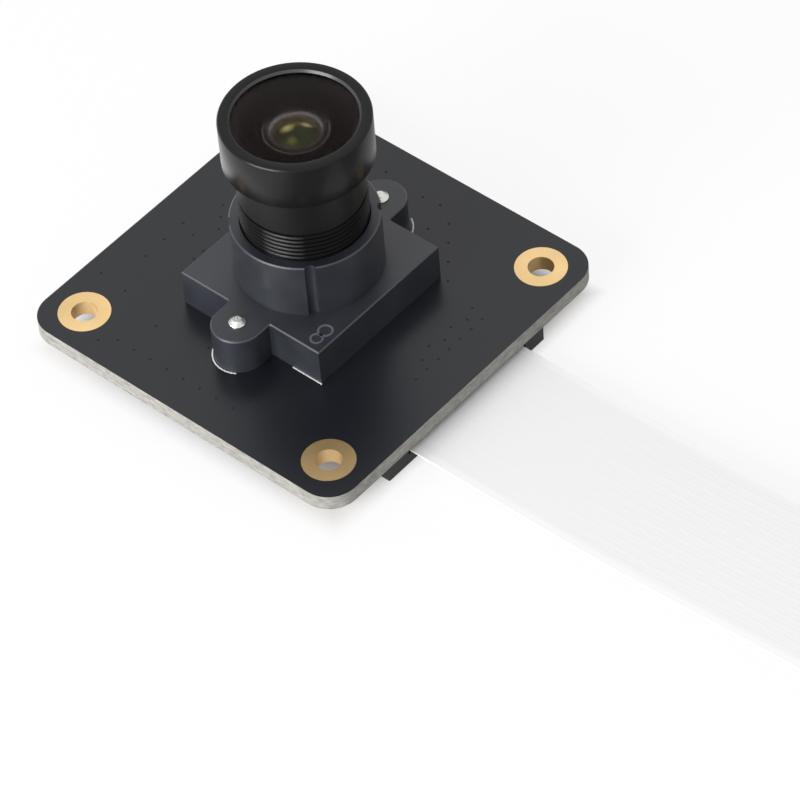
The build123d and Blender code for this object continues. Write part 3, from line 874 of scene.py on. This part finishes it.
# %% Film
LINES_START = 27 * MM
LINES_FULL = 42 * MM
film = Surface("ribbon_film", IOR=1.5)
along, side, _ = film.axes()
inside = (CABLE_WIDTH / 2 - abs(side)).smooth(0.6 * MM, 0.9 * MM)
from_wire_edge = abs(abs(side).repeat(WIRE_PITCH) - WIRE_WIDTH / 2)
wire_edge = 1 - from_wire_edge.smooth(0.03 * MM, 0.10 * MM)
visible = along.smooth(LINES_START, LINES_FULL)
streak = film.noise(0.0006, 2.0, (0.06, 1.0, 1.0))
tone = (0.42 + 0.4 * wire_edge * visible + 0.1 * streak) * inside
film.set("Base Color", film.mix((0.885, 0.885, 0.885), (0.80, 0.80, 0.802), tone))
film.set("Roughness", 0.3 + 0.1 * streak)
film.bump(streak, 0.000003)
print("nodes in the film's material:", len(film.tree.nodes))

# %% The cable as a cord
cable_line = spline_points(cable_route)
ribbon = new_piece("ribbon", film_mesh(cable_line), film, "board")
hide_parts("ribbon_cable")
measured = sum((b - a).length for a, b in zip(cable_line, cable_line[1:]))
print("cable length, mm:", round(measured / MM, 1), "points:", len(cable_line))

# %% [markdown]
# ## Dots and print on the board
#
# Small plated holes join the board's layers. The coating closes them, so each one is a dot
# with a soft rim. They stand in rows, so one tree makes a row between two points, and a short
# list names the rows.

# %% A tree for rows of dots
DOT_TOP_R = 0.07 * MM
row_tree, given, result = node_tree("row", {
    "Start": "NodeSocketVector",
    "End": "NodeSocketVector",
    "Count": "NodeSocketInt",
    "Radius": "NodeSocketFloat",
    "Rise": "NodeSocketFloat",
    "Material": "NodeSocketMaterial",
})
spots = wire(row_tree, "GeometryNodeMeshLine", {"mode": "END_POINTS"}, {
    "Count": given["Count"],
    "Start Location": given["Start"],
    "Offset": given["End"],
})
dot = wire(row_tree, "GeometryNodeMeshCone", values={
    "Vertices": 14,
    "Radius Top": DOT_TOP_R,
    "Radius Bottom": given["Radius"],
    "Depth": given["Rise"],
})
placed = wire(row_tree, "GeometryNodeInstanceOnPoints", values={
    "Points": spots.outputs["Mesh"],
    "Instance": dot.outputs["Mesh"],
})
real = wire(row_tree, "GeometryNodeRealizeInstances", values={"Geometry": placed.outputs[0]})
painted = wire(row_tree, "GeometryNodeSetMaterial", values={
    "Geometry": real.outputs[0],
    "Material": given["Material"],
})
row_tree.links.new(painted.outputs[0], result["Geometry"])
print("nodes in the row's tree:", len(row_tree.nodes))

# %% Dots
DOT_R = 0.15 * MM
DOT_RISE = 0.012 * MM
dot_black = Surface("dot_black")
pit = dot_black.noise(0.0001)
dot_black.set("Base Color", dot_black.mix((0.001, 0.001, 0.002), (0.004, 0.004, 0.005), pit))
dot_black.set("Roughness", 0.75 + 0.15 * pit)
dot_rows = [
    ((-10.1, -15.75), (4.0, -15.6), 8),
    ((-15.4, -0.95), (-15.35, -6.25), 3),
    ((-14.0, 3.1), (-12.2, 0.5), 3),
    ((-11.45, -2.5), (-11.45, -3.8), 2),
    ((4.6, 14.1), (9.3, 8.4), 4),
    ((0.4, 15.3), (2.4, 15.5), 2),
    ((14.9, 6.6), (14.9, -2.8), 7),
    ((13.3, 7.1), (13.2, 1.05), 3),
    ((13.85, 5.7), (13.8, -0.65), 3),
]
lone_dots = [
    (-11.55, -16.85), (5.5, -14.4), (-13.6, -1.55), (-17.15, -10.4), (-13.8, -10.75),
    (-8.5, -12.3), (-2.75, -11.4), (-4.55, 15.75), (3.5, 12.4),
]
dot_rows += [(place, place, 1) for place in lone_dots]
dot_meshes = []
for (x0, y0), (x1, y1), count in dot_rows:
    dot_meshes.append(grow(row_tree, {
        "Start": (x0 * MM, y0 * MM, BOARD_TOP),
        "End": (x1 * MM, y1 * MM, BOARD_TOP),
        "Count": count,
        "Radius": DOT_R,
        "Rise": DOT_RISE,
        "Material": dot_black.material,
    }))
new_piece("board_dots", joined("dots", dot_meshes), dot_black, "board")
print("dots on the board:", sum(count for _, _, count in dot_rows))

# %% [markdown]
# The white line printed round the holder's place shows only where the holder doesn't cover it:
# beside both lugs and in front of the nearest corner. Each stretch is a thin raised strip.

# %% Print
PRINT_WIDTH = 0.13 * MM
PRINT_RISE = 0.012 * MM


def strip(points, width, low, high):
    """A flat closed strip along a path of (x, y) points."""
    verts = []
    count = len(points)
    for i, (x, y) in enumerate(points):
        before = points[max(i - 1, 0)]
        after = points[min(i + 1, count - 1)]
        along = Vector((after[0] - before[0], after[1] - before[1])).normalized()
        across = Vector((-along.y, along.x)) * width / 2
        for side, z in ((1, low), (-1, low), (-1, high), (1, high)):
            verts.append((x + side * across.x, y + side * across.y, z))
    faces = [(0, 1, 2, 3), tuple(4 * (count - 1) + k for k in (3, 2, 1, 0))]
    for i in range(count - 1):
        for k in range(4):
            n = (k + 1) % 4
            faces.append((4 * i + k, 4 * i + n, 4 * i + 4 + n, 4 * i + 4 + k))
    mesh = bpy.data.meshes.new("strip")
    mesh.from_pydata(verts, [], faces)
    return outwards(mesh)


def arc(centre, radius, start, end, steps=24):
    """Points round a centre, between two angles in degrees."""
    turns = [math.radians(start + (end - start) * i / steps) for i in range(steps + 1)]
    return [(centre[0] + radius * math.cos(t), centre[1] + radius * math.sin(t)) for t in turns]


# %% Print round the holder
foot_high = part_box("lens_holder")[1]
LUG_R = 2.5 * MM
lug_y = foot_high.y - LUG_R
FOOT_HALF = foot_high.x
FOOT_TOP = BOARD_TOP + 4.0 * MM
ink = Surface("print_white")
ink.set("Base Color", ink.mix((0.70, 0.70, 0.69), (0.85, 0.85, 0.84), ink.noise(0.0002)))
ink.set("Roughness", 0.55 + 0.1 * ink.noise(0.0004))
front_line = FOOT_HALF + 0.08 * MM
print_paths = [
    arc((0, -lug_y), LUG_R + 0.14 * MM, -172, -58),
    arc((0, lug_y), LUG_R + 0.35 * MM, 12, 62),
    [(5.0 * MM, -front_line), (6.8 * MM, -front_line), (FOOT_HALF + 0.1 * MM, -front_line)],
]
print_top = BOARD_TOP + PRINT_RISE
strips = [strip(points, PRINT_WIDTH, BOARD_TOP, print_top) for points in print_paths]
new_piece("board_print", joined("print", strips), ink, "board")
print("stretches of print:", len(strips))

# %% [markdown]
# The mould leaves a small raised digit on the holder's foot. An eight is two rings, so it is
# made with the same strip as the print. It is paler than the holder, a painted highlight for
# the light that its raised strokes catch.

# %% Digit
DIGIT_PLACE = (7.05 * MM, -6.45 * MM)
DIGIT_STROKE = 0.2 * MM
DIGIT_RISE = 0.03 * MM
RING_R = (0.56 * MM, 0.66 * MM)
ring_middles = (DIGIT_PLACE[1] - RING_R[1], DIGIT_PLACE[1] + RING_R[0])
digit_strips = []
for radius, y in zip(RING_R, ring_middles):
    ring_path = arc((DIGIT_PLACE[0], y), radius, 0, 360, 32)
    digit_strips.append(strip(ring_path, DIGIT_STROKE, FOOT_TOP - 0.01 * MM, FOOT_TOP + DIGIT_RISE))
# The digit's pale colour is a painted highlight: the holder's black plastic, lit on its raised
# strokes.
painted_highlight_plastic = moulded("mould_digit_painted_highlight", (0.075, 0.080, 0.105), 0.36)
digit_mesh = joined("digit", digit_strips)
new_piece("mould_digit", digit_mesh, painted_highlight_plastic, "board")
print("digit outlines:", len(digit_strips))

# %% [markdown]
# ## The floor and the light
#
# The room is a white tent: a pale floor, light from everywhere, and one large soft lamp low at
# the front left, which isn't seen through glass. What the camera, glossy surfaces and glass see
# of the room is plain white, so the floor outside the board also glows white for the camera. In
# a real studio the floor in front is darker than the part at the left under the lamp, and the
# black upright walls mirror it, so it is dimmed and brightened there for mirror rays alone.

# %% Floor
floor_z = min(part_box(n)[0].z for n in ("connector_housing", "connector_slider"))
FLOOR_SIZE = 3.0
floor_mesh = bpy.data.meshes.new("floor")
corner = FLOOR_SIZE / 2
corners = [(-corner, -corner), (corner, -corner), (corner, corner), (-corner, corner)]
floor_mesh.from_pydata([(x, y, floor_z) for x, y in corners], [], [(0, 1, 2, 3)])
floor = bpy.data.objects.new("floor", floor_mesh)
bpy.context.scene.collection.objects.link(floor)
print("floor height, mm:", round(floor_z / MM, 2))

# %% Paper
paper = Surface("floor_paper", Roughness=0.9, Base_Color=(0.92, 0.92, 0.92))
floor_mesh.materials.append(paper.material)
sight = paper.node("ShaderNodeLightPath")
GLOW_SHARE = 0.86
DIM_STRENGTH = 0.42
LEFT_STRENGTH = 1.5
floor_x, floor_y, _ = paper.axes()
reach = abs(floor_x).math("MAXIMUM", abs(floor_x), abs(floor_y))
beyond_board = reach.smooth(board_high.x - 2.5 * MM, board_high.x + 0.5 * MM)
to_the_left = -math.cos(AZIMUTH) * floor_x - math.sin(AZIMUTH) * floor_y
at_left = to_the_left.smooth(4 * MM, 26 * MM)
in_front = (floor_x - floor_y).smooth(-10 * MM, 10 * MM)
seen = Field(paper, sight.outputs["Is Camera Ray"])
mirrored = Field(paper, sight.outputs["Is Glossy Ray"])


def over_floor(below, share, strength):
    """Adds a white glow over what is there already, as far as the share says."""
    white = {"Color": (1.0, 1.0, 1.0), "Strength": strength}
    light = paper.node("ShaderNodeEmission", values=white)
    made = paper.node("ShaderNodeMixShader", values={0: share, 1: below, 2: light.outputs[0]})
    return made.outputs[0]


finish = over_floor(paper.shader.outputs[0], seen * beyond_board * GLOW_SHARE, 1.0)
finish = over_floor(finish, mirrored * beyond_board * in_front, DIM_STRENGTH)
finish = over_floor(finish, mirrored * beyond_board * at_left, LEFT_STRENGTH)
exit_node = paper.tree.nodes["Material Output"]
paper.tree.links.new(finish, exit_node.inputs["Surface"])
print("nodes in the paper's material:", len(paper.tree.nodes))

# %% Room light
WHITE = (1.0, 1.0, 1.0, 1.0)
ROOM_STRENGTH = 0.64
SEEN_STRENGTH = 1.0
world = bpy.data.worlds.new("room")
bpy.context.scene.world = world
world.use_nodes = True
room = world.node_tree
room.nodes.clear()
rays = wire(room, "ShaderNodeLightPath").outputs
background = "ShaderNodeBackground"
soft = wire(room, background, values={"Color": WHITE, "Strength": ROOM_STRENGTH})
white = wire(room, background, values={"Color": WHITE, "Strength": SEEN_STRENGTH})
either = {"operation": "MAXIMUM"}
direct = {0: rays["Is Camera Ray"], 1: rays["Is Glossy Ray"]}
direct = wire(room, "ShaderNodeMath", either, direct)
through = {0: direct.outputs[0], 1: rays["Is Transmission Ray"]}
through = wire(room, "ShaderNodeMath", either, through)
choose = wire(room, "ShaderNodeMixShader", values={
    0: through.outputs[0],
    1: soft.outputs[0],
    2: white.outputs[0],
})
wire(room, "ShaderNodeOutputWorld", values={"Surface": choose.outputs[0]})
print("nodes in the room's light:", len(room.nodes))

# %% Lamp
LAMP_PLACE = (-0.03, -0.58, 0.20)
LAMP_SIZE = 0.4
LAMP_WATTS = 5.6


def softbox(name, place, target, size, power):
    """A square lamp that faces its target and isn't seen through glass."""
    lamp = bpy.data.lights.new(name, "AREA")
    lamp.size = size
    lamp.energy = power
    holder = bpy.data.objects.new(name, lamp)
    bpy.context.scene.collection.objects.link(holder)
    holder.visible_transmission = False
    holder.location = place
    holder.rotation_euler = (Vector(target) - Vector(place)).to_track_quat("-Z", "Y").to_euler()


softbox("key", LAMP_PLACE, (0, 0, 0), LAMP_SIZE, LAMP_WATTS)
bpy.context.scene.view_settings.view_transform = "Standard"
print("lamps:", len(bpy.data.lights))
